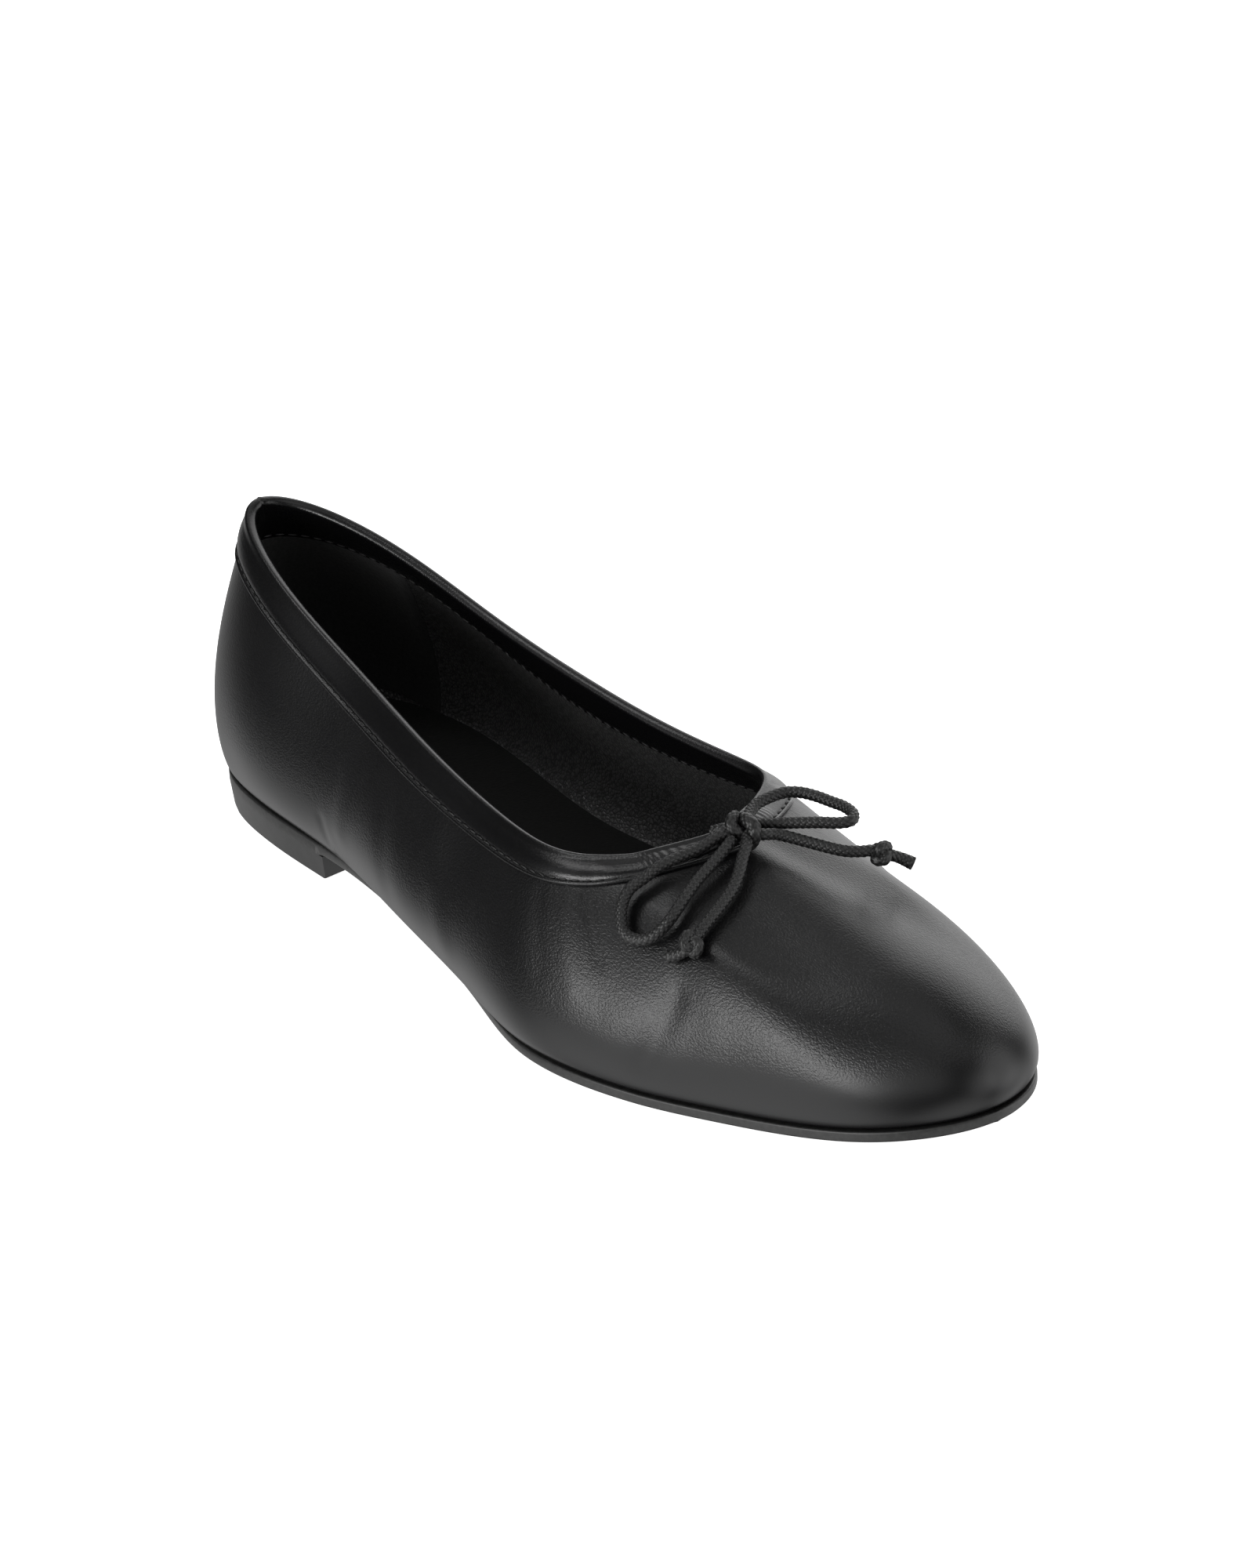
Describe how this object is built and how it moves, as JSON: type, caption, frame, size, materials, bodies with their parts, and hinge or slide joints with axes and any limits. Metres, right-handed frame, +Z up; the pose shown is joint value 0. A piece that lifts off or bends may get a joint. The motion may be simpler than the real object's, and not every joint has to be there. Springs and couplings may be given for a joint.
{
  "type": "ballet flat",
  "caption": "Right ballet flat: hollow leather upper with a bound topline and a drawcord bow at the throat, on a thin outsole with a low block heel.",
  "frame": {"origin": "middle of the heel's flat underside, on the floor", "axes": "+X from the heel to the toe, +Y to the wearer's left (the inner side of this right shoe), +Z up"},
  "size_m": [0.2541, 0.0851, 0.0669],
  "materials": {
    "black_nappa": "satin, fine grain",
    "binding_nappa": "satin, fine grain",
    "insole_leather": "matt",
    "sole_leather": "matt",
    "heel_rubber": "matt",
    "waxed_cord": "braided, waxed"
  },
  "bodies": {
    "root": {"outsole": "sole_leather", "heel": "heel_rubber", "upper": "black_nappa", "topline_binding": "binding_nappa", "insole": "insole_leather", "bow_knot": "waxed_cord", "bow_loop_outer": "waxed_cord", "bow_loop_inner": "waxed_cord", "bow_tail_outer": "waxed_cord", "bow_tail_inner": "waxed_cord", "end_knot_outer": "waxed_cord", "end_knot_inner": "waxed_cord"}
  },
  "joints": []
}
